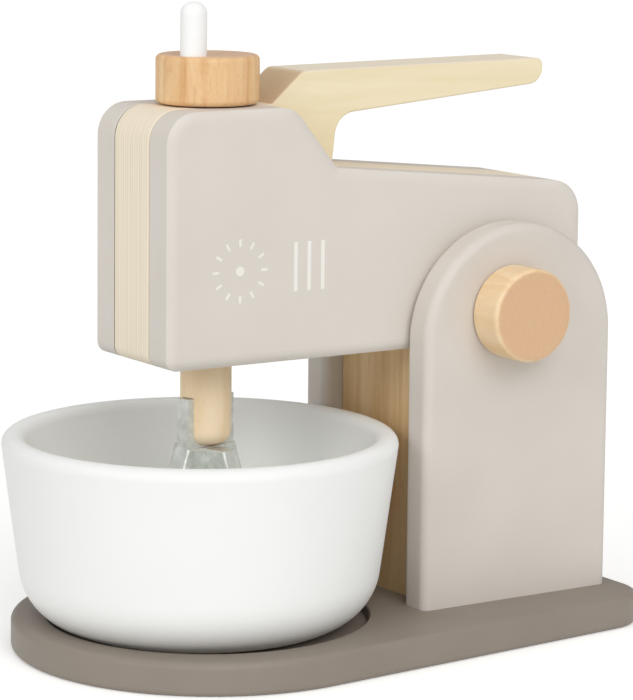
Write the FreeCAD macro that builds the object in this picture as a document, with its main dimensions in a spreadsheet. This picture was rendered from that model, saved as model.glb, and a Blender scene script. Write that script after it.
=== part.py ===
import FreeCAD, Part
import math
import os
from types import SimpleNamespace

import Sketcher

os.makedirs("parts", exist_ok=True)

doc = FreeCAD.newDocument("ToyStandMixer")
vec = FreeCAD.Vector
tiny = 1e-4

# Driving dimensions in millimetres. X runs from the bowl end to the column, Z is up,
# and the origin lies on the floor near the middle of the base board.
dimensions = {
    # Base board
    "baseFrontX": -35.7, "baseFrontRadius": 63.8, "baseRearX": 101.6, "baseRearHalf": 52.6,
    "baseCorner": 16, "baseThick": 10.5, "baseEdge": 2, "recessX": -37.4,
    "recessRadius": 51.2, "recessDepth": 3, "recessEdge": 0.6,
    # Column
    "panelFrontX": 21.5, "panelWidth": 73.7, "panelThick": 12, "archZ": 95.95,
    "columnGap": 46.8, "panelEdge": 3, "blockFrontX": 28.5, "blockRearX": 55.1,
    "blockStopX": 45, "blockSlopeFoot": 42, "restGap": 0.15, "blockEdge": 0.8,
    # Head
    "noseX": -65.7, "rearX": 91.4, "headBottom": 93.2, "headTop": 172.2,
    "dropX": -20.1, "saddleX": -4.2, "saddleZ": 152.55, "rearTopZ": 143.1,
    "coreThick": 21, "cheekThick": 12, "noseCorner": 10, "noseFoot": 3.8,
    "rearCorner": 11, "saddleRound": 3, "cheekEdge": 5.4, "cheekSpare": 1.9,
    # Handle, cut in one piece with the core of the head
    "handleFootX": -21.7, "handleFrontX": -10.1, "handleFrontZ": 182.3, "handleEndX": 83.8,
    "handleEndTop": 183.3, "handleEndBottom": 175.2, "footRearX": 1.2, "footTopX": 3.1,
    "footTopZ": 168.1, "footRearZ": 152.02, "handleBrow": 4, "handleTip": 2.5, "handleHeel": 5.5,
    "fingerRound": 7.5, "coreEdge": 0.6,
    # Pivot
    "pivotX": 53.5, "pivotZ": 105, "axleRadius": 6, "axleFit": 0.08, "knobRadius": 15,
    "knobThick": 12.9, "knobGap": 0.25, "knobBore": 8.5, "knobFaceEdge": 1.8,
    "knobBackEdge": 1.2, "washerRadius": 11, "washerFit": 0.05,
    # Crank, shaft and beater
    "driveX": -38.6, "shaftRadius": 8.1, "shaftFit": 0.1, "shaftBottom": 65.4,
    "shaftInDisc": 6.5, "shaftTip": 4, "discRadius": 16.2, "discBottom": 172.6,
    "discThick": 15.3, "discEdge": 1.8, "pegRadius": 4.15, "pegOffset": 10.4,
    "pegInDisc": 7, "pegTop": 204.6, "pegDome": 3.9, "slotTop": 80.6, "bladeTop": 80.4,
    "bladeThick": 4.8, "prongHalf": 10.2, "flareTop": 66, "flareHalf": 22, "flareZ": 32,
    "bladeBottom": 25, "footHalf": 17, "flareThick": 6.2, "crossTop": 64.2, "lapZ": 46,
    "bladeEdge": 0.7, "prongRoot": 4, "shaftGap": 0.6, "cutOver": 1,
    # Bowl
    "bowlFloorZ": 7.5, "bowlRimZ": 68.8, "bowlRimRadius": 63, "bowlFootRadius": 54.8,
    "bowlWall": 7.4, "bowlFloor": 7, "bowlInnerFoot": 48.4, "bowlOuterRound": 20,
    "bowlInnerRound": 16, "bowlLip": 3.4, "bowlX": -39.6, "bowlY": 1.5,
    # Dowels and screws
    "glueDowelRadius": 3, "glueDowelHalf": 17, "panelDowelRadius": 4, "panelDowelHalf": 31,
    "screwRadius": 1.75, "screwHead": 3.5, "screwLength": 32, "driverWide": 0.9,
    "driverLong": 3.8, "driverDeep": 1.2,
}
# Degrees: how far the beater's long blade is turned from X, and the peg's place on the crank
bladeTurn = 14.7
pegTurn = 199.3
# Middles of the glue dowels in the head and in the column, as X and Z
headDowels = [(-56.5, 106), (-56.5, 160), (-15, 106), (25, 122), (76, 128)]
columnDowels = [(38, 45), (38, 78)]
# Screws up through the base board, as X and Y: two in each panel and two in the block
screwPlaces = [(38, -30), (80, -30), (38, 30), (80, 30), (42, -12), (42, 12)]

sheet = doc.addObject("Spreadsheet::Sheet", "Sizes")
for row, (name, number) in enumerate(dimensions.items(), 1):
    sheet.set(f"A{row}", name)
    sheet.set(f"B{row}", str(number))
    sheet.setAlias(f"B{row}", name)
doc.recompute()


class Size:
    """A length that knows its number and the sheet expression it comes from."""

    def __init__(self, number, text=None):
        self.number = float(number)
        self.text = text or repr(float(number))

    def joined(self, other, sign, number):
        return Size(number, f"({self.text} {sign} {other.text})")

    def __add__(self, other):
        other = asSize(other)
        return self.joined(other, "+", self.number + other.number)

    def __sub__(self, other):
        other = asSize(other)
        return self.joined(other, "-", self.number - other.number)

    def __mul__(self, other):
        other = asSize(other)
        return self.joined(other, "*", self.number * other.number)

    def __neg__(self):
        return self * -1


def asSize(value):
    return value if isinstance(value, Size) else Size(value)


d = SimpleNamespace(**{name: Size(number, f"Sizes.{name}") for name, number in dimensions.items()})
pieces = []


def bind(thing, prop, value):
    """Ties a property of an object to the sheet."""
    thing.setExpression(prop, asSize(value).text)


def newBody(name):
    body = doc.addObject("PartDesign::Body", name)
    body.Label = name
    pieces.append(body)
    return body


def newSketch(body, role, offset=0):
    """A sketch on one of the body's own planes, moved along the plane's normal."""
    plane = next(f for f in body.Origin.OriginFeatures if f.Role == role)
    sketch = body.newObject("Sketcher::SketchObject", f"{body.Name}_sketch")
    sketch.AttachmentSupport = (plane, [""])
    sketch.MapMode = "FlatFace"
    bind(sketch, "AttachmentOffset.Base.z", offset)
    return sketch


def place(sketch, geometry, point, x, y):
    """Fixes a point of the sketch at x, y from the sketch's origin."""
    for kind, value in (("DistanceX", x), ("DistanceY", y)):
        value = asSize(value)
        k = sketch.addConstraint(Sketcher.Constraint(kind, -1, 1, geometry, point, value.number))
        sketch.setExpression(f"Constraints[{k}]", value.text)


def outline(sketch, corners):
    """A closed outline of straight lines through the corners."""
    points = [vec(asSize(x).number, asSize(y).number, 0) for x, y in corners]
    ends = points[1:] + points[:1]
    first = sketch.addGeometry([Part.LineSegment(a, b) for a, b in zip(points, ends)], False)[0]
    for i, (x, y) in enumerate(corners):
        after = first + (i + 1) % len(corners)
        sketch.addConstraint(Sketcher.Constraint("Coincident", first + i, 2, after, 1))
        place(sketch, first + i, 1, x, y)


def circle(sketch, x, y, radius):
    x, y, radius = asSize(x), asSize(y), asSize(radius)
    ring = Part.Circle(vec(x.number, y.number, 0), vec(0, 0, 1), radius.number)
    g = sketch.addGeometry(ring, False)
    place(sketch, g, 3, x, y)
    k = sketch.addConstraint(Sketcher.Constraint("Radius", g, radius.number))
    sketch.setExpression(f"Constraints[{k}]", radius.text)


def feature(body, kind, sketch, length, backwards=False, both=False):
    """A Pad or Pocket of a sketch, checked to have changed the solid."""
    before = body.Shape.Volume if body.Tip else 0
    made = body.newObject(f"PartDesign::{kind}", f"{body.Name}_{kind}")
    made.Profile = sketch
    made.Reversed = backwards
    if both:
        made.SideType = "Symmetric"
    bind(made, "Length", length)
    doc.recompute()
    if abs(made.Shape.Volume - before) < tiny:
        raise RuntimeError(f"{made.Name} changes nothing")
    return made


def soften(body, radius, chosen, kind="Fillet"):
    """Rounds or bevels the edges of the body's last feature that the test picks."""
    base = body.Tip
    names = [f"Edge{i + 1}" for i, edge in enumerate(base.Shape.Edges) if chosen(edge)]
    made = body.newObject(f"PartDesign::{kind}", f"{body.Name}_{kind}")
    made.Base = (base, names)
    bind(made, "Radius" if kind == "Fillet" else "Size", radius)
    doc.recompute()
    return made


def acrossAt(x, z):
    """Picks the edges that run along Y at x, z."""
    x, z = asSize(x).number, asSize(z).number

    def test(edge):
        box = edge.BoundBox
        near = abs(box.XMin - x) < tiny and abs(box.XMax - x) < tiny
        return near and abs(box.ZMin - z) < tiny and abs(box.ZMax - z) < tiny

    return test


def flatAt(axis, value, skip=lambda box: False):
    """Picks the edges that lie in the plane where axis has the value."""
    value = asSize(value).number

    def test(edge):
        box = edge.BoundBox
        low, high = getattr(box, axis + "Min"), getattr(box, axis + "Max")
        return abs(low - value) < tiny and abs(high - value) < tiny and not skip(box)

    return test


def holesUp(body, z, places, radius, depth):
    """Round holes from height z upwards."""
    sketch = newSketch(body, "XY_Plane", z)
    for x, y in places:
        circle(sketch, x, y, radius)
    return feature(body, "Pocket", sketch, depth, backwards=True)


def holesAcross(body, y, places, radius, depth, towardsCamera):
    """Round holes along Y from y, towards -Y or away from it. A sketch on XZ faces -Y."""
    sketch = newSketch(body, "XZ_Plane", -asSize(y))
    for x, z in places:
        circle(sketch, x, z, radius)
    return feature(body, "Pocket", sketch, depth, backwards=towardsCamera)


def group(name, members):
    made = doc.addObject("Part::Compound", name)
    made.Label = name
    made.Links = members
    pieces.append(made)


def rod(name, x, y, z, radius, length, axis="Z"):
    """A plain cylinder that starts at x, y, z and runs along Z or along -Y."""
    made = doc.addObject("Part::Cylinder", name)
    bind(made, "Radius", radius)
    bind(made, "Height", length)
    if axis == "Y":
        made.Placement = FreeCAD.Placement(vec(), FreeCAD.Rotation(vec(1, 0, 0), 90))
    for letter, value in zip("xyz", (x, y, z)):
        bind(made, f"Placement.Base.{letter}", value)
    return made


# Base board: a half round front, sides that draw in to a rounded square rear, and a round
# recess that the bowl stands in with room to spare
def basePlate():
    body = newBody("base_plate")
    sketch = newSketch(body, "XY_Plane")
    centre, rear, half = d.baseFrontX.number, d.baseRearX.number, d.baseRearHalf.number
    radius = d.baseFrontRadius.number
    lean = math.atan2(radius - half, rear - centre)
    touch = vec(centre + radius * math.sin(lean), radius * math.cos(lean), 0)
    mirror = vec(touch.x, -touch.y, 0)
    front = Part.Circle(vec(centre, 0, 0), vec(0, 0, 1), radius)
    turn = math.pi / 2 - lean
    sketch.addGeometry([
        Part.ArcOfCircle(front, turn, 2 * math.pi - turn),
        Part.LineSegment(mirror, vec(rear, -half, 0)),
        Part.LineSegment(vec(rear, -half, 0), vec(rear, half, 0)),
        Part.LineSegment(vec(rear, half, 0), touch),
    ], False)
    for first, second in ((1, 2), (2, 3)):
        sketch.addConstraint(Sketcher.Constraint("Coincident", first, 2, second, 1))
    sketch.addConstraint(Sketcher.Constraint("Tangent", 0, 2, 1, 1))
    sketch.addConstraint(Sketcher.Constraint("Tangent", 3, 2, 0, 1))
    place(sketch, 0, 3, d.baseFrontX, 0)
    place(sketch, 1, 2, d.baseRearX, -d.baseRearHalf)
    place(sketch, 2, 2, d.baseRearX, d.baseRearHalf)
    k = sketch.addConstraint(Sketcher.Constraint("Radius", 0, radius))
    sketch.setExpression(f"Constraints[{k}]", d.baseFrontRadius.text)
    feature(body, "Pad", sketch, d.baseThick)
    upright = lambda edge: edge.BoundBox.ZLength > tiny and edge.BoundBox.XMin > rear - tiny
    soften(body, d.baseCorner, upright)
    top = flatAt("Z", d.baseThick)
    bottom = flatAt("Z", 0)
    soften(body, d.baseEdge, lambda edge: top(edge) or bottom(edge))
    recess = newSketch(body, "XY_Plane", d.baseThick)
    circle(recess, d.recessX, 0, d.recessRadius)
    feature(body, "Pocket", recess, d.recessDepth)
    soften(body, d.recessEdge, flatAt("Z", d.baseThick, outsideRecess))
    holesUp(body, 0, screwPlaces, d.screwRadius, d.baseThick)
    small = lambda box: box.XLength > 3 * d.screwRadius.number
    soften(body, d.screwHead - d.screwRadius, flatAt("Z", 0, small), "Chamfer")


def outsideRecess(box):
    """True for an edge that isn't the recess's own rim."""
    return abs(box.XLength - 2 * d.recessRadius.number) > tiny


# Side panel: a straight board with a full round top, both its edges rounded over
def sidePanel(name, side):
    body = newBody(name)
    inner = d.columnGap * 0.5 * side
    sketch = newSketch(body, "XZ_Plane", -inner)
    left, right = d.panelFrontX, d.panelFrontX + d.panelWidth
    middle, radius = d.panelFrontX + d.panelWidth * 0.5, d.panelWidth.number / 2
    foot, spring = d.baseThick.number, d.archZ.number
    arch = Part.Circle(vec(middle.number, spring, 0), vec(0, 0, 1), radius)
    sketch.addGeometry([
        Part.LineSegment(vec(left.number, foot, 0), vec(right.number, foot, 0)),
        Part.LineSegment(vec(right.number, foot, 0), vec(right.number, spring, 0)),
        Part.ArcOfCircle(arch, 0, math.pi),
        Part.LineSegment(vec(left.number, spring, 0), vec(left.number, foot, 0)),
    ], False)
    for first, second in ((0, 1), (3, 0)):
        sketch.addConstraint(Sketcher.Constraint("Coincident", first, 2, second, 1))
    sketch.addConstraint(Sketcher.Constraint("Tangent", 1, 2, 2, 1))
    sketch.addConstraint(Sketcher.Constraint("Tangent", 2, 2, 3, 1))
    place(sketch, 0, 1, left, d.baseThick)
    place(sketch, 0, 2, right, d.baseThick)
    place(sketch, 2, 3, middle, d.archZ)
    feature(body, "Pad", sketch, d.panelThick, backwards=side > 0)
    outer = inner + d.panelThick * side
    onBase = lambda box: box.ZMax < foot + tiny
    faces = [flatAt("Y", inner, onBase), flatAt("Y", outer, onBase)]
    soften(body, d.panelEdge, lambda edge: any(test(edge) for test in faces))
    pivot = [(d.pivotX, d.pivotZ)]
    holesAcross(body, inner, pivot, d.axleRadius + d.axleFit, d.panelThick, side < 0)
    deep = d.panelDowelHalf - d.columnGap * 0.5
    holesAcross(body, inner, columnDowels, d.panelDowelRadius, deep, side < 0)
    places = [p for p in screwPlaces if p[1] * side > 0.5 * d.columnGap.number]
    holesUp(body, d.baseThick, places, d.screwRadius, d.screwLength - d.baseThick)


# Column block: fills the column in front of the pivot. The head rests on its top,
# and its slanted back stops the head when it is tilted up.
def columnBlock():
    body = newBody("column_block")
    top = d.headBottom - d.restGap
    sketch = newSketch(body, "XZ_Plane")
    outline(sketch, [
        (d.blockFrontX, d.baseThick), (d.blockRearX, d.baseThick),
        (d.blockRearX, d.pivotZ - d.blockSlopeFoot), (d.blockStopX, top), (d.blockFrontX, top),
    ])
    feature(body, "Pad", sketch, d.columnGap, both=True)
    front = d.blockFrontX.number
    upright = lambda edge: edge.BoundBox.ZLength > tiny and edge.BoundBox.XMax < front + tiny
    soften(body, d.blockEdge, upright)
    holesAcross(body, -d.columnGap * 0.5, columnDowels, d.panelDowelRadius, d.columnGap, False)
    places = [p for p in screwPlaces if abs(p[1]) < 0.5 * d.columnGap.number]
    holesUp(body, d.baseThick, places, d.screwRadius, d.screwLength - d.baseThick)


# The end of the head's outline, the same for the cheeks and the core
def headRear():
    return [(d.rearX, d.rearTopZ), (d.rearX, d.headBottom)]


def roundCorners(body, corners, radii):
    """Rounds the edges along Y at the outline's corners, each with its own radius."""
    for corner, radius in zip(corners, radii):
        soften(body, radius, acrossAt(*corner))


def grown(corners, by):
    """The corners of the outline when each of its sides is moved out by a length."""
    points = [vec(asSize(x).number, asSize(z).number, 0) for x, z in corners]
    moved = []
    for before, here, after in zip(points[-1:] + points, points, points[1:] + points[:1]):
        outwards = [vec(-run.y, run.x, 0).normalize() for run in (here - before, after - here)]
        lean = 1 + outwards[0].dot(outwards[1])
        spot = here + (outwards[0] + outwards[1]) * (by / lean)
        moved.append((spot.x, spot.y))
    return moved


def cheekBlank(body, side, spare):
    """A cheek with square edges, larger all round by the spare length."""
    sketch = newSketch(body, "XZ_Plane", -d.coreThick * 0.5 * side)
    corners = [(d.noseX, d.headBottom), (d.noseX, d.headTop), (d.dropX, d.headTop),
               (d.saddleX, d.saddleZ)] + headRear()
    radii = [d.noseFoot, d.noseCorner, d.noseCorner, d.saddleRound, d.rearCorner, d.rearCorner]
    if spare:
        corners = grown(corners, spare.number)
        hollow = radii.index(d.saddleRound)
        radii = [r - spare if i == hollow else r + spare for i, r in enumerate(radii)]
    outline(sketch, corners)
    feature(body, "Pad", sketch, d.cheekThick, backwards=side > 0)
    roundCorners(body, corners, radii)


def headCheek(name, side):
    """The rounding starts on the face and is cut short at the outline, as a shallow cutter
    leaves it: the larger blank is rounded over first and then trimmed."""
    body = newBody(name)
    inner = d.coreThick * 0.5 * side
    outer = inner + d.cheekThick * side
    cheekBlank(body, side, d.cheekSpare)
    soften(body, d.cheekEdge, flatAt("Y", outer))
    trim = doc.addObject("PartDesign::Body", name + "_trim")
    cheekBlank(trim, side, None)
    common = body.newObject("PartDesign::Boolean", name + "_Boolean")
    common.setObjects([trim])
    common.Type = "Common"
    doc.recompute()
    soften(body, d.coreEdge, flatAt("Y", inner), "Chamfer")
    pivot = [(d.pivotX, d.pivotZ)]
    holesAcross(body, inner, pivot, d.axleRadius + d.axleFit, d.cheekThick, side < 0)
    deep = d.glueDowelHalf - d.coreThick * 0.5
    holesAcross(body, inner, headDowels, d.glueDowelRadius, deep, side < 0)


def headCore():
    body = newBody("head_core")
    sketch = newSketch(body, "XZ_Plane")
    outline(sketch, [
        (d.noseX, d.headBottom), (d.noseX, d.headTop), (d.handleFootX, d.headTop),
        (d.handleFrontX, d.handleFrontZ), (d.handleEndX, d.handleEndTop),
        (d.handleEndX, d.handleEndBottom), (d.footTopX, d.footTopZ), (d.footRearX, d.footRearZ),
    ] + headRear())
    feature(body, "Pad", sketch, d.coreThick, both=True)
    rounded = {(d.noseX, d.headBottom): d.noseFoot, (d.noseX, d.headTop): d.noseCorner,
               (d.rearX, d.headBottom): d.rearCorner, (d.rearX, d.rearTopZ): d.rearCorner,
               (d.handleFrontX, d.handleFrontZ): d.handleBrow,
               (d.handleEndX, d.handleEndTop): d.handleTip,
               (d.handleEndX, d.handleEndBottom): d.handleHeel,
               (d.footTopX, d.footTopZ): d.fingerRound}
    roundCorners(body, rounded.keys(), rounded.values())
    sides = [flatAt("Y", d.coreThick * 0.5), flatAt("Y", -d.coreThick * 0.5)]
    soften(body, d.coreEdge, lambda edge: any(test(edge) for test in sides))
    half = d.coreThick * 0.5
    pivot = [(d.pivotX, d.pivotZ)]
    holesAcross(body, -half, pivot, d.axleRadius + d.axleFit, d.coreThick, False)
    holesAcross(body, -half, headDowels, d.glueDowelRadius, d.coreThick, False)
    bore = d.headTop - d.headBottom
    holesUp(body, d.headBottom, [(d.driveX, 0)], d.shaftRadius + d.shaftFit, bore)


def pivotKnob(name, side):
    body = newBody(name)
    back = (d.columnGap * 0.5 + d.panelThick + d.knobGap) * side
    sketch = newSketch(body, "XZ_Plane", -back)
    circle(sketch, d.pivotX, d.pivotZ, d.knobRadius)
    feature(body, "Pad", sketch, d.knobThick, backwards=side > 0)
    soften(body, d.knobFaceEdge, flatAt("Y", back + d.knobThick * side))
    soften(body, d.knobBackEdge, flatAt("Y", back))
    holesAcross(body, back, [(d.pivotX, d.pivotZ)], d.axleRadius, d.knobBore, side < 0)


def pivotAxle():
    half = d.columnGap * 0.5 + d.panelThick + d.knobGap + d.knobBore
    made = rod("pivot_axle", d.pivotX, half, d.pivotZ, d.axleRadius, half * 2, "Y")
    made.Label = "pivot_axle"
    pieces.append(made)


def pivotWashers():
    """Thin washers that fill the gap between the head and the panels."""
    members = []
    gap = (d.columnGap - d.coreThick) * 0.5 - d.cheekThick
    thick = gap - d.washerFit * 2
    for side, start in ((-1, -(d.columnGap * 0.5 - gap + d.washerFit)),
                        (1, d.columnGap * 0.5 - d.washerFit)):
        disc = rod(f"washerDisc{side + 1}", d.pivotX, start, d.pivotZ, d.washerRadius, thick, "Y")
        hole = rod(f"washerHole{side + 1}", d.pivotX, start, d.pivotZ,
                   d.axleRadius + d.axleFit * 2, thick, "Y")
        ring = doc.addObject("Part::Cut", f"washer{side + 1}")
        ring.Base, ring.Tool = disc, hole
        members.append(ring)
    group("pivot_washers", members)


# The crank, shaft and beater are drawn about their own axis, then turned and set in the nose
def onDriveAxis(body, turn=bladeTurn):
    body.Placement = FreeCAD.Placement(vec(), FreeCAD.Rotation(vec(0, 0, 1), turn))
    bind(body, "Placement.Base.x", d.driveX)


def pegPlace():
    turn = math.radians(pegTurn)
    return d.pegOffset * math.cos(turn), d.pegOffset * math.sin(turn)


def crankDisc():
    body = newBody("crank_disc")
    sketch = newSketch(body, "XY_Plane", d.discBottom)
    circle(sketch, 0, 0, d.discRadius)
    feature(body, "Pad", sketch, d.discThick)
    top = d.discBottom + d.discThick
    ends = [flatAt("Z", d.discBottom), flatAt("Z", top)]
    soften(body, d.discEdge, lambda edge: any(test(edge) for test in ends))
    holesUp(body, d.discBottom, [(0, 0)], d.shaftRadius, d.shaftInDisc)
    socket = newSketch(body, "XY_Plane", top)
    circle(socket, *pegPlace(), d.pegRadius)
    feature(body, "Pocket", socket, d.pegInDisc)
    onDriveAxis(body)


def crankPeg():
    body = newBody("crank_peg")
    foot = d.discBottom + d.discThick - d.pegInDisc
    sketch = newSketch(body, "XY_Plane", foot)
    circle(sketch, *pegPlace(), d.pegRadius)
    feature(body, "Pad", sketch, d.pegTop - foot)
    soften(body, d.pegDome, flatAt("Z", d.pegTop))
    onDriveAxis(body)


def driveShaft():
    body = newBody("drive_shaft")
    sketch = newSketch(body, "XY_Plane", d.shaftBottom)
    circle(sketch, 0, 0, d.shaftRadius)
    feature(body, "Pad", sketch, d.discBottom + d.shaftInDisc - d.shaftBottom)
    soften(body, d.shaftTip, flatAt("Z", d.shaftBottom))
    slot = newSketch(body, "XZ_Plane")
    wide, low = d.shaftRadius + d.cutOver, d.shaftBottom - d.cutOver
    outline(slot, [(-wide, low), (wide, low), (wide, d.slotTop), (-wide, d.slotTop)])
    feature(body, "Pocket", slot, d.bladeThick, both=True)
    onDriveAxis(body)


def flare(top):
    """The lower part of a blade: it widens downwards and draws in again at its foot."""
    slope = (d.flareHalf.number - d.prongHalf.number) / (d.flareTop.number - d.flareZ.number)
    topHalf = d.prongHalf + (d.flareTop - top) * slope
    return [(-topHalf, top), (topHalf, top), (d.flareHalf, d.flareZ), (d.footHalf, d.bladeBottom),
            (-d.footHalf, d.bladeBottom), (-d.flareHalf, d.flareZ)]


def lap(body, bottom, top):
    """The slot that takes the other blade, as wide as that blade is thick."""
    sketch = newSketch(body, "XZ_Plane")
    half = d.flareThick * 0.5
    outline(sketch, [(-half, bottom), (half, bottom), (half, top), (-half, top)])
    feature(body, "Pocket", sketch, d.flareThick + d.cutOver * 2, both=True)


def softenBlade(body):
    """Eases the blade's faces along its outline, and leaves the lap joint sharp."""
    half = d.flareThick.number / 2
    soften(body, d.bladeEdge, lambda edge: flatAt("Y", half)(edge) or flatAt("Y", -half)(edge))


def beaterLong():
    body = newBody("beater_blade_long")
    prongs = newSketch(body, "XZ_Plane")
    low = d.flareTop - d.prongRoot
    outline(prongs, [(-d.prongHalf, low), (d.prongHalf, low), (d.prongHalf, d.bladeTop),
                     (-d.prongHalf, d.bladeTop)])
    wide = newSketch(body, "XZ_Plane")
    outline(wide, flare(d.shaftBottom - d.shaftGap))
    feature(body, "Pad", wide, d.flareThick, both=True)
    softenBlade(body)
    feature(body, "Pad", prongs, d.bladeThick, both=True)
    lap(body, d.bladeBottom - d.cutOver, d.lapZ)
    onDriveAxis(body)


def beaterCross():
    body = newBody("beater_blade_cross")
    wide = newSketch(body, "XZ_Plane")
    outline(wide, flare(d.crossTop))
    feature(body, "Pad", wide, d.flareThick, both=True)
    softenBlade(body)
    lap(body, d.lapZ, d.crossTop + d.cutOver)
    onDriveAxis(body, bladeTurn + 90)


# Bowl: turned, with a leaning wall, a wide round foot and a soft lip
def bowl():
    body = newBody("bowl")
    sketch = newSketch(body, "XZ_Plane")
    rimIn = d.bowlRimRadius - d.bowlWall
    floor = d.bowlFloorZ + d.bowlFloor
    outline(sketch, [(0, d.bowlFloorZ), (d.bowlFootRadius, d.bowlFloorZ),
                     (d.bowlRimRadius, d.bowlRimZ), (rimIn, d.bowlRimZ),
                     (d.bowlInnerFoot, floor), (0, floor)])
    made = body.newObject("PartDesign::Revolution", "bowl_Revolution")
    made.Profile = sketch
    made.ReferenceAxis = (sketch, ["V_Axis"])
    made.Angle = 360
    doc.recompute()

    def ringOf(radius, z):
        level = flatAt("Z", z)
        return lambda edge: level(edge) and abs(edge.Curve.Radius - radius.number) < tiny

    soften(body, d.bowlOuterRound, ringOf(d.bowlFootRadius, d.bowlFloorZ))
    soften(body, d.bowlInnerRound, ringOf(d.bowlInnerFoot, floor))
    soften(body, d.bowlLip, flatAt("Z", d.bowlRimZ))
    bind(body, "Placement.Base.x", d.bowlX)
    bind(body, "Placement.Base.y", d.bowlY)


def dowelGroup(name, places, radius, half):
    members = [rod(f"{name}_{i}", x, half, z, radius, half * 2, "Y")
               for i, (x, z) in enumerate(places)]
    group(name, members)


def baseScrews():
    """Countersunk wood screws, driven up from the underside."""
    members = []
    headHigh = d.screwHead - d.screwRadius
    for i, (x, y) in enumerate(screwPlaces):
        head = doc.addObject("Part::Cone", f"screwHead{i}")
        for prop, value in (("Radius1", d.screwHead), ("Radius2", d.screwRadius),
                            ("Height", headHigh), ("Placement.Base.x", x),
                            ("Placement.Base.y", y)):
            bind(head, prop, value)
        shank = rod(f"screwShank{i}", x, y, headHigh, d.screwRadius, d.screwLength - headHigh)
        whole = doc.addObject("Part::MultiFuse", f"screwWhole{i}")
        whole.Shapes = [head, shank]
        cross = doc.addObject("Part::MultiFuse", f"driverCross{i}")
        bars = []
        for k, (long, wide) in enumerate(((d.driverLong, d.driverWide),
                                          (d.driverWide, d.driverLong))):
            bar = doc.addObject("Part::Box", f"driverBar{i}_{k}")
            for prop, value in (("Length", long), ("Width", wide), ("Height", d.driverDeep),
                                ("Placement.Base.x", asSize(x) - long * 0.5),
                                ("Placement.Base.y", asSize(y) - wide * 0.5)):
                bind(bar, prop, value)
            bars.append(bar)
        cross.Shapes = bars
        screw = doc.addObject("Part::Cut", f"screw{i}")
        screw.Base, screw.Tool = whole, cross
        members.append(screw)
    group("base_screws", members)


basePlate()
sidePanel("side_panel_near", -1)
sidePanel("side_panel_far", 1)
columnBlock()
headCheek("head_cheek_near", -1)
headCheek("head_cheek_far", 1)
headCore()
pivotKnob("pivot_knob_near", -1)
pivotKnob("pivot_knob_far", 1)
pivotAxle()
pivotWashers()
crankDisc()
crankPeg()
driveShaft()
beaterLong()
beaterCross()
bowl()
dowelGroup("head_dowels", headDowels, d.glueDowelRadius, d.glueDowelHalf)
dowelGroup("column_dowels", columnDowels, d.panelDowelRadius, d.panelDowelHalf)
baseScrews()
doc.recompute()

failed = [o.Name for o in doc.Objects if "Invalid" in o.State or "Error" in o.State]
failed += [p.Label for p in pieces if p.Shape.isNull() or not p.Shape.isValid()]
if failed:
    raise RuntimeError("not built: " + ", ".join(failed))
for piece in pieces:
    piece.Shape.exportStep(f"parts/{piece.Label}.step")
    print(f"{piece.Label}: {len(piece.Shape.Solids)} solid(s), {piece.Shape.Volume / 1000:.2f} cm3")
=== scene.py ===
import math

import bmesh
import bpy
from mathutils import Matrix, Vector


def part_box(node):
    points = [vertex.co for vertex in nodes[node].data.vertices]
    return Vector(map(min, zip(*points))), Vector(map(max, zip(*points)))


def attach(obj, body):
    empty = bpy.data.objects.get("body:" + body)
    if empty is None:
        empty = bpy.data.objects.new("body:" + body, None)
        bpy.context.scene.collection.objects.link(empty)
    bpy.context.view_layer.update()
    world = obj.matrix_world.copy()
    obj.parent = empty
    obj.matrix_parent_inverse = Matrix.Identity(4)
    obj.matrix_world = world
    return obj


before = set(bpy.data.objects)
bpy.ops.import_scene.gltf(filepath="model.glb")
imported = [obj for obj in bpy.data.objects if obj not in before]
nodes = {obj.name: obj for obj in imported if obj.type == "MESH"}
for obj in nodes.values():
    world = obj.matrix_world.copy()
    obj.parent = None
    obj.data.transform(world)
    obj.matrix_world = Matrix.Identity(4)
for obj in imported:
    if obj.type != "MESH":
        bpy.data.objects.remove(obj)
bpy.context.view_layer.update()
mm = 0.001


def linear(code):
    # sRGB hex to the linear colour that a shader socket takes
    parts = [int(code[i:i + 2], 16) / 255 for i in (1, 3, 5)]
    return [c / 12.92 if c <= 0.04045 else ((c + 0.055) / 1.055) ** 2.4 for c in parts] + [1]


def addNode(owner, kind, sockets=None, stops=None, **settings):
    # owner is a material or the world, and each socket gets a link, a hex colour or a value.
    # Where a Mix blends colours, 0 is its factor, 6 and 7 are the two and output 2 is the result.
    node = owner.node_tree.nodes.new("ShaderNode" + kind)
    for name, value in settings.items():
        setattr(node, name, value)
    for socket, source in (sockets or {}).items():
        if isinstance(source, bpy.types.NodeSocket):
            owner.node_tree.links.new(source, node.inputs[socket])
        else:
            value = linear(source) if isinstance(source, str) else source
            node.inputs[socket].default_value = value
    if stops:
        ramp = node.color_ramp
        while len(ramp.elements) < len(stops):
            ramp.elements.new(0.5)
        for element, (place, colour) in zip(ramp.elements, stops):
            element.position = place
            element.color = linear(colour) if isinstance(colour, str) else [colour] * 3 + [1]
    return node


def newMaterial(name):
    mat = bpy.data.materials.new(name)
    mat.use_nodes = True
    mat.node_tree.nodes.clear()
    return mat, addNode(mat, "TexCoord").outputs


def closeMaterial(mat, colour, height, relief, **shader):
    # relief is how deep in mm the height goes
    bump = addNode(mat, "Bump", {"Distance": relief * mm, "Height": height})
    bsdf = addNode(mat, "BsdfPrincipled",
                   {"Base Color": colour, "Normal": bump.outputs[0], **shader})
    addNode(mat, "OutputMaterial", {"Surface": bsdf.outputs[0]})
    return mat


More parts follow.
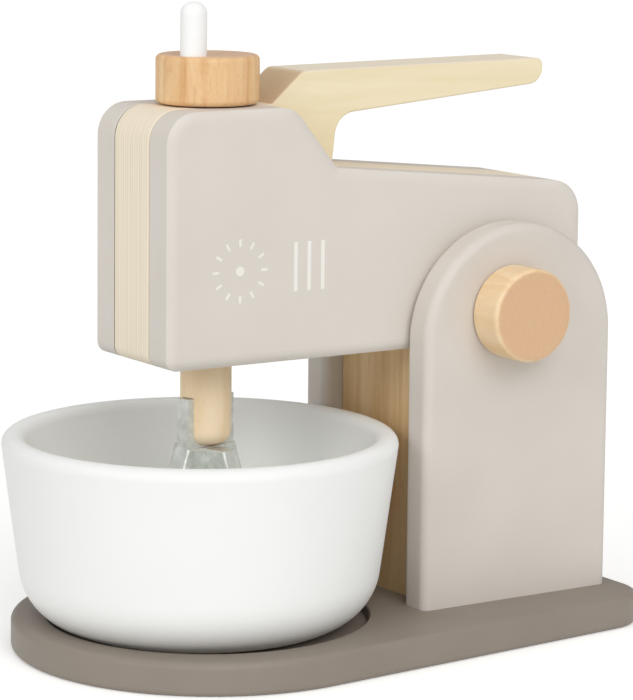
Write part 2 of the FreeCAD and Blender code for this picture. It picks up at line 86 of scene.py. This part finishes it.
def cloudy(mat, where, size, detail=3.0, distortion=0.0):
    # noise in soft spots of the given size in mm, one number or one for each axis
    sizes = size if isinstance(size, tuple) else (size, size, size)
    scaled = addNode(mat, "Mapping", {"Scale": [1 / (s * mm) for s in sizes],
                                      "Vector": where["Object"]})
    noise = addNode(mat, "TexNoise", {"Scale": 1.0, "Detail": detail, "Distortion": distortion,
                                      "Vector": scaled.outputs[0]})
    return noise.outputs[0]


def facing(mat, where, axis, start, full):
    # 0 on surfaces that run along the axis and 1 on those cut square across it
    normal = addNode(mat, "SeparateXYZ", {0: where["Normal"]})
    size = addNode(mat, "Math", {0: normal.outputs[axis]}, operation="ABSOLUTE")
    return addNode(mat, "ValToRGB", {"Fac": size.outputs[0]},
                   ((start, 0.0), (full, 1.0))).outputs[0]


# Matte lacquer on board: an even sprayed coat, with a faint orange peel and soft highlights.
# All sizes are in mm. On the head, a band at the joint of the boards, to the given half width, is
# painted shade.
lacquer = {"patch": 28, "peel": 0.9, "relief": 0.012, "roughness": 0.5, "ior": 1.48,
           "jointShadeHalf": None}
# The panels share the head cheeks' greige paint; their copy is a little darker, as painted shade
panelGreigeShaded = {**lacquer, "tones": ((0.35, "#D7CFC7"), (0.65, "#DAD3CB"))}
headGreige = {**lacquer, "tones": ((0.35, "#DDD6CD"), (0.65, "#E0D9D1")),
              "jointShadeHalf": 10.92, "jointShadeColour": "#8C8274"}
boardTaupe = {**lacquer, "tones": ((0.35, "#8D8378"), (0.65, "#91877C"))}
inkWhite = {**lacquer, "tones": ((0.35, "#F1EFE9"), (0.65, "#F4F2EC")),
            "peel": 0.3, "relief": 0.004, "roughness": 0.45}
# Moulded nylon has a skin much like the lacquer's, a little glossier
washerNylon = {**lacquer, "tones": ((0.35, "#D6D4CC"), (0.65, "#DBD9D1")), "roughness": 0.45}


def sprayedLacquer(name, coat):
    mat, where = newMaterial(name)
    patch = cloudy(mat, where, coat["patch"])
    colour = addNode(mat, "ValToRGB", {"Fac": patch}, coat["tones"]).outputs[0]
    # painted shade: a dark band on the cheek where it meets the plywood core
    if coat["jointShadeHalf"]:
        place = addNode(mat, "SeparateXYZ", {0: where["Object"]})
        across = addNode(mat, "Math", {0: place.outputs["Y"]}, operation="ABSOLUTE")
        inJointShade = addNode(mat, "Math", {0: across.outputs[0], 1: coat["jointShadeHalf"] * mm},
                         operation="LESS_THAN")
        colour = addNode(mat, "Mix", {0: inJointShade.outputs[0], 6: colour, 7: coat["jointShadeColour"]},
                         data_type="RGBA").outputs[2]
    peel = cloudy(mat, where, coat["peel"], detail=2.0)
    return closeMaterial(mat, colour, peel, coat["relief"],
                         Roughness=coat["roughness"], IOR=coat["ior"])


# Solid wood: long streaks along the grain, short darker flecks, and open end grain, greyer
# and finely dotted, where the piece is cut across
beech = {"roughness": 0.45, "ior": 1.5, "long": 45, "wide": 4.5, "relief": 0.02,
         "tones": ((0.28, "#D8A36A"), (0.48, "#E9BE8A"), (0.7, "#F2CF9F")),
         "fleckLong": 2.6, "fleckWide": 0.9, "flecks": ((0.58, 0.0), (0.74, 0.32)),
         "fleckColour": "#C08850", "pore": 0.7, "endStart": 0.75, "endFull": 0.97,
         "endTones": ((0.35, "#DFB48E"), (0.65, "#E9C3A0"))}
# A paler copy of the beech for the drive shaft: painted light for the shade it sits in under the
# head
shaftBeechPaintedLight = {**beech, "tones": ((0.28, "#F7DAAE"), (0.48, "#FEE5C0"), (0.7, "#FFEDD0")),
              "wide": 7, "flecks": ((0.6, 0.0), (0.76, 0.18)), "fleckColour": "#DDB68A"}
paleBeech = {**beech, "tones": ((0.28, "#E8C594"), (0.48, "#F2D3A8"), (0.7, "#F8E0BC")),
             "flecks": ((0.6, 0.0), (0.76, 0.25)), "fleckColour": "#D3A473",
             "endTones": ((0.3, "#DBB089"), (0.7, "#DFB892"))}
pine = {**beech, "roughness": 0.55, "long": 90, "wide": 5, "relief": 0.03,
        "tones": ((0.28, "#D4AB75"), (0.48, "#E2BF8D"), (0.7, "#EBCFA3")),
        "fleckLong": 9, "fleckWide": 2.3, "flecks": ((0.6, 0.0), (0.75, 0.22)),
        "fleckColour": "#C0935C"}


def solidWood(name, wood, axis):
    mat, where = newMaterial(name)
    size = tuple(wood["long"] if a == axis else wood["wide"] for a in "XYZ")
    streak = cloudy(mat, where, size, detail=5.0, distortion=0.6)
    tone = addNode(mat, "ValToRGB", {"Fac": streak}, wood["tones"])
    size = tuple(wood["fleckLong"] if a == axis else wood["fleckWide"] for a in "XYZ")
    fleck = cloudy(mat, where, size, detail=2.0)
    mask = addNode(mat, "ValToRGB", {"Fac": fleck}, wood["flecks"])
    side = addNode(mat, "Mix", {0: mask.outputs[0], 6: tone.outputs[0],
                                7: wood["fleckColour"]}, data_type="RGBA")
    pore = cloudy(mat, where, wood["pore"], detail=2.0)
    ends = addNode(mat, "ValToRGB", {"Fac": pore}, wood["endTones"])
    cut = facing(mat, where, axis, wood["endStart"], wood["endFull"])
    colour = addNode(mat, "Mix", {0: cut, 6: side.outputs[2], 7: ends.outputs[0]},
                     data_type="RGBA")
    return closeMaterial(mat, colour.outputs[2], fleck, wood["relief"],
                         Roughness=wood["roughness"], IOR=wood["ior"])


# Birch plywood: thin plies of two grain ways show as fine lines on every cut edge, the slanting
# saw cut at the foot of the handle has painted shade, a browner tone for the crank disc's shadow,
# and the outer veneer is nearly plain.
# glueWide is a share of a ply, and the crossed plies differ in how dark they are.
plywood = {"thick": 21, "plies": 15, "along": "#FCF0DB", "across": "#F7E9CF",
           "leastDark": 0.2, "moreDark": 0.6,
           "glue": "#C4AA84", "glueWide": 0.14, "glueShows": 0.4, "glueRelief": -0.03,
           "slopeShade": "#CBAE84", "slopeShadeAbove": 172.4, "slopeShadeShows": 1.7,
           "veneer": ((0.3, "#F0DFB6"), (0.7, "#F7EACB")), "figure": (60, 3, 5),
           "faceStart": 0.8, "faceFull": 0.95, "roughness": 0.55, "ior": 1.5}


def birchPlywood():
    mat, where = newMaterial("birchPlywood")
    place = addNode(mat, "SeparateXYZ", {0: where["Object"]})
    ply = plywood["thick"] / plywood["plies"] * mm
    rise = addNode(mat, "Math", {0: place.outputs["Y"], 1: 1 / ply, 2: plywood["plies"] / 2},
                   operation="MULTIPLY_ADD")
    index = addNode(mat, "Math", {0: rise.outputs[0]}, operation="FLOOR")
    part = addNode(mat, "Math", {0: rise.outputs[0]}, operation="FRACT")
    # every second ply is crossed
    crossed = addNode(mat, "Math", {0: index.outputs[0], 1: 2.0}, operation="FLOORED_MODULO")
    chance = addNode(mat, "TexWhiteNoise", {"W": index.outputs[0]}, noise_dimensions="1D")
    dark = addNode(mat, "Math", {0: chance.outputs[0], 1: plywood["moreDark"],
                                 2: plywood["leastDark"]}, operation="MULTIPLY_ADD")
    depth = addNode(mat, "Math", {0: crossed.outputs[0], 1: dark.outputs[0]},
                    operation="MULTIPLY")
    plies = addNode(mat, "Mix", {0: depth.outputs[0], 6: plywood["along"],
                                 7: plywood["across"]}, data_type="RGBA")
    # a glue line where each ply starts
    seam = addNode(mat, "Math", {0: part.outputs[0], 1: plywood["glueWide"]},
                   operation="LESS_THAN")
    faint = addNode(mat, "Math", {0: seam.outputs[0], 1: plywood["glueShows"]},
                    operation="MULTIPLY")
    glued = addNode(mat, "Mix", {0: faint.outputs[0], 6: plies.outputs[2], 7: plywood["glue"]},
                    data_type="RGBA")
    # painted shade on the slanting saw cut: its normal has both an X and a Z part
    normal = addNode(mat, "SeparateXYZ", {0: where["Normal"]})
    both = addNode(mat, "Math", {0: normal.outputs["X"], 1: normal.outputs["Z"]},
                   operation="MULTIPLY")
    slant = addNode(mat, "Math", {0: both.outputs[0]}, operation="ABSOLUTE")
    shown = addNode(mat, "Math", {0: slant.outputs[0], 1: plywood["slopeShadeShows"]},
                    operation="MULTIPLY")
    high = addNode(mat, "Math", {0: place.outputs["Z"], 1: plywood["slopeShadeAbove"] * mm},
                   operation="GREATER_THAN")
    slopeShade = addNode(mat, "Math", {0: shown.outputs[0], 1: high.outputs[0]}, operation="MULTIPLY")
    edges = addNode(mat, "Mix", {0: slopeShade.outputs[0], 6: glued.outputs[2], 7: plywood["slopeShade"]},
                    data_type="RGBA")
    figure = cloudy(mat, where, plywood["figure"], detail=4.0, distortion=0.4)
    veneer = addNode(mat, "ValToRGB", {"Fac": figure}, plywood["veneer"])
    face = facing(mat, where, "Y", plywood["faceStart"], plywood["faceFull"])
    colour = addNode(mat, "Mix", {0: face, 6: edges.outputs[2], 7: veneer.outputs[0]},
                     data_type="RGBA")
    return closeMaterial(mat, colour.outputs[2], seam.outputs[0], plywood["glueRelief"],
                         Roughness=plywood["roughness"], IOR=plywood["ior"])


# Dull silver paint: a soft metal sheen with small dents, and bright specks painted in as glints
silverCoat = {"patch": 3.5, "tones": ((0.3, "#D2D6D1"), (0.7, "#EFF2ED")),
              "glintSpot": (1.1, 1.1, 2.2), "paintedGlints": ((0.62, 0.0), (0.72, 1.0)),
              "glintColour": "#FAFBF9", "dent": 1.8, "relief": 0.16,
              "metallic": 0.55, "roughness": 0.38}


def dullSilver():
    mat, where = newMaterial("dullSilver")
    patch = cloudy(mat, where, silverCoat["patch"], detail=5.0)
    base = addNode(mat, "ValToRGB", {"Fac": patch}, silverCoat["tones"])
    glintSpot = cloudy(mat, where, silverCoat["glintSpot"])
    # painted highlight: bright specks in the colour that stand in for glints
    paintedGlints = addNode(mat, "ValToRGB", {"Fac": glintSpot}, silverCoat["paintedGlints"])
    colour = addNode(mat, "Mix", {0: paintedGlints.outputs[0], 6: base.outputs[0],
                                  7: silverCoat["glintColour"]}, data_type="RGBA")
    dents = addNode(mat, "TexVoronoi", {"Scale": 1 / (silverCoat["dent"] * mm),
                                        "Vector": where["Object"]}, feature="SMOOTH_F1")
    return closeMaterial(mat, colour.outputs[2], dents.outputs[0], silverCoat["relief"],
                         Metallic=silverCoat["metallic"], Roughness=silverCoat["roughness"])


# Soft white lacquer on turned wood: very even, with the faintest turning marks
turned = {"patch": 40, "marks": (30, 30, 1.5), "relief": 0.02, "roughness": 0.5, "ior": 1.42}
bowlWhite = {**turned, "tones": ((0.35, "#F6F7F5"), (0.65, "#F8F9F7"))}
pegWhite = {**turned, "tones": ((0.35, "#FBFBFA"), (0.65, "#FDFDFC"))}


def turnedWhite(name, coat):
    mat, where = newMaterial(name)
    patch = cloudy(mat, where, coat["patch"], detail=2.0)
    colour = addNode(mat, "ValToRGB", {"Fac": patch}, coat["tones"])
    marks = cloudy(mat, where, coat["marks"], detail=2.0)
    return closeMaterial(mat, colour.outputs[0], marks, coat["relief"],
                         Roughness=coat["roughness"], IOR=coat["ior"])


# Zinc-plated steel: bright, with a fine uneven wear
plating = {"patch": 1.2, "tones": ((0.3, "#B9B9B4"), (0.7, "#D3D3CE")), "relief": 0.02,
           "roughness": 0.35}


def platedSteel():
    mat, where = newMaterial("platedSteel")
    wear = cloudy(mat, where, plating["patch"])
    colour = addNode(mat, "ValToRGB", {"Fac": wear}, plating["tones"])
    return closeMaterial(mat, colour.outputs[0], wear, plating["relief"],
                         Metallic=1.0, Roughness=plating["roughness"])


greigePanel = sprayedLacquer("greigePanel", panelGreigeShaded)
greigeHead = sprayedLacquer("greigeHead", headGreige)
beechUp = solidWood("beechUpright", beech, "Z")
beechAcross = solidWood("beechAcross", beech, "Y")
knobBeech = solidWood("knobBeech", paleBeech, "Y")
silver = dullSilver()
finishes = {
    "base_plate": sprayedLacquer("taupeLacquer", boardTaupe),
    "side_panel_near": greigePanel,
    "side_panel_far": greigePanel,
    "column_block": solidWood("pineBlock", pine, "Z"),
    "column_dowels": beechAcross,
    "base_screws": platedSteel(),
    "pivot_washers": sprayedLacquer("nylonWasher", washerNylon),
    "head_core": birchPlywood(),
    "head_cheek_near": greigeHead,
    "head_cheek_far": greigeHead,
    "head_dowels": beechAcross,
    "crank_disc": beechUp,
    "crank_peg": turnedWhite("pegLacquer", pegWhite),
    "drive_shaft": solidWood("shaftBeechPaintedLight", shaftBeechPaintedLight, "Z"),
    "beater_blade_long": silver,
    "beater_blade_cross": silver,
    "pivot_axle": beechAcross,
    "pivot_knob_near": knobBeech,
    "pivot_knob_far": knobBeech,
    "bowl": turnedWhite("bowlLacquer", bowlWhite),
}
for name, finish in finishes.items():
    mesh = nodes[name].data
    mesh.materials.clear()
    mesh.materials.append(finish)
print("finishes set on", len(finishes), "nodes")


def makeObject(name, bm, finish):
    mesh = bpy.data.meshes.new(name)
    bm.to_mesh(mesh)
    bm.free()
    mesh.materials.append(finish)
    made = bpy.data.objects.new(name, mesh)
    bpy.context.scene.collection.objects.link(made)
    return made


# Screen print on the near cheek: three upright bars, and a plain ring of ticks like a speed dial
ink = sprayedLacquer("printInk", inkWhite)
inkThick = 0.06
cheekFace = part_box("head_cheek_near")[0].y
inkBars = {"middles": (-19.9, -14.95, -9.9), "wide": 1.3, "low": 115.0, "high": 130.5}
inkDial = {"middle": (-40.2, 122.7), "outer": 9.9, "inner": 7.6, "wide": 0.85,
           "ticks": 12, "dot": 1.5, "dotSides": 32}


def inkPatch(bm, wide, high, x, z):
    # a thin plate that stands on the cheek's face
    made = bmesh.ops.create_cube(bm, size=1.0)["verts"]
    bmesh.ops.scale(bm, vec=(wide * mm, inkThick * mm, high * mm), verts=made)
    bmesh.ops.translate(bm, vec=(x * mm, cheekFace - inkThick * mm / 2, z * mm), verts=made)
    return made


def printPiece(name, bm):
    piece = makeObject(name, bm, ink)
    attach(piece, "head")


bm = bmesh.new()
for x in inkBars["middles"]:
    inkPatch(bm, inkBars["wide"], inkBars["high"] - inkBars["low"], x,
             (inkBars["high"] + inkBars["low"]) / 2)
printPiece("printed_bars", bm)

bm = bmesh.new()
dialX, dialZ = inkDial["middle"]
for i in range(inkDial["ticks"]):
    tick = inkPatch(bm, inkDial["wide"], inkDial["outer"] - inkDial["inner"], dialX,
                    dialZ + (inkDial["outer"] + inkDial["inner"]) / 2)
    bmesh.ops.rotate(bm, cent=(dialX * mm, 0, dialZ * mm), verts=tick,
                     matrix=Matrix.Rotation(math.tau * i / inkDial["ticks"], 3, "Y"))
dot = bmesh.ops.create_cone(bm, cap_ends=True, segments=inkDial["dotSides"],
                            radius1=inkDial["dot"] * mm, radius2=inkDial["dot"] * mm,
                            depth=inkThick * mm)["verts"]
bmesh.ops.rotate(bm, verts=dot, matrix=Matrix.Rotation(math.pi / 2, 3, "X"))
bmesh.ops.translate(bm, verts=dot, vec=(dialX * mm, cheekFace - inkThick * mm / 2, dialZ * mm))
printPiece("printed_dial", bm)
print("print made")

# Floor: a wide pale sheet that keeps the object's shadow and reads as white to the camera, in
# gloss and through glass. Its size is in metres and its grain in mm.
sheet = {"size": 40.0, "grain": 3, "tones": ((0.3, "#F3F3F1"), (0.7, "#F4F4F2")),
         "roughness": 0.9, "lift": 0.32}
mat, where = newMaterial("paperFloor")
grain = cloudy(mat, where, sheet["grain"])
paper = addNode(mat, "ValToRGB", {"Fac": grain}, sheet["tones"])
rays = addNode(mat, "LightPath").outputs
seen = addNode(mat, "Math", {0: rays["Is Camera Ray"], 1: rays["Is Glossy Ray"]},
               operation="MAXIMUM")
seen = addNode(mat, "Math", {0: seen.outputs[0], 1: rays["Is Transmission Ray"]},
               operation="MAXIMUM")
glow = addNode(mat, "Math", {0: seen.outputs[0], 1: sheet["lift"]}, operation="MULTIPLY")
bsdf = addNode(mat, "BsdfPrincipled", {"Base Color": paper.outputs[0],
                                       "Roughness": sheet["roughness"],
                                       "Emission Color": "#FFFFFF",
                                       "Emission Strength": glow.outputs[0]})
addNode(mat, "OutputMaterial", {"Surface": bsdf.outputs[0]})
bm = bmesh.new()
bmesh.ops.create_grid(bm, x_segments=1, y_segments=1, size=sheet["size"] / 2)
floor = makeObject("floor", bm, mat)

# World: even white light from all round, with a plain white seen behind the floor
studio = {"light": 0.475, "seen": 1.0}
world = bpy.data.worlds.new("studio")
bpy.context.scene.world = world
world.use_nodes = True
world.node_tree.nodes.clear()
rays = addNode(world, "LightPath").outputs
level = addNode(world, "Mix", {0: rays["Is Camera Ray"], 2: studio["light"], 3: studio["seen"]})
back = addNode(world, "Background", {"Color": "#FFFFFF", "Strength": level.outputs[0]})
addNode(world, "OutputWorld", {"Surface": back.outputs[0]})

# Wide lamps: towards is the way the light travels, and spread is in degrees
lamps = {"keyLight": {"strength": 1.09, "spread": 40, "towards": (0.15, 0.8, -0.65)},
         "fillLight": {"strength": 0.58, "spread": 26, "towards": (0.9, 0.3, -0.42)},
         "topLight": {"strength": 0.22, "spread": 90, "towards": (0.1, 0.2, -1)}}
for name, lamp in lamps.items():
    data = bpy.data.lights.new(name, "SUN")
    data.energy = lamp["strength"]
    data.angle = math.radians(lamp["spread"])
    sun = bpy.data.objects.new(name, data)
    sun.rotation_euler = Vector(lamp["towards"]).to_track_quat("-Z", "Y").to_euler()
    bpy.context.scene.collection.objects.link(sun)
print("stage and lights set")

# Camera at the photograph's place and angle: place in mm, angles in degrees, near and far in
# metres, and a shift that is a share of the picture
view = {"place": (-551.37, -843.15, 263.05), "turn": 33.3, "dip": 7.863, "roll": 0.6,
        "lens": 163.92, "sensor": 36, "shiftY": -100 / 700, "near": 0.05, "far": 60}
turn, dip, roll = (math.radians(view[k]) for k in ("turn", "dip", "roll"))
forward = Vector((math.sin(turn) * math.cos(dip), math.cos(turn) * math.cos(dip),
                  -math.sin(dip)))
flat = forward.cross(Vector((0, 0, 1))).normalized()
upright = flat.cross(forward)
right = flat * math.cos(roll) + upright * math.sin(roll)
up = upright * math.cos(roll) - flat * math.sin(roll)
data = bpy.data.cameras.new("camera")
data.lens, data.sensor_width = view["lens"], view["sensor"]
data.shift_y = view["shiftY"]
data.clip_start, data.clip_end = view["near"], view["far"]
camera = bpy.data.objects.new("camera", data)
axes = Matrix((right, up, -forward)).transposed().to_4x4()
camera.matrix_world = Matrix.Translation(Vector(view["place"]) * mm) @ axes
bpy.context.scene.collection.objects.link(camera)
bpy.context.scene.camera = camera
bpy.context.scene.view_settings.view_transform = "Standard"
print("camera set")
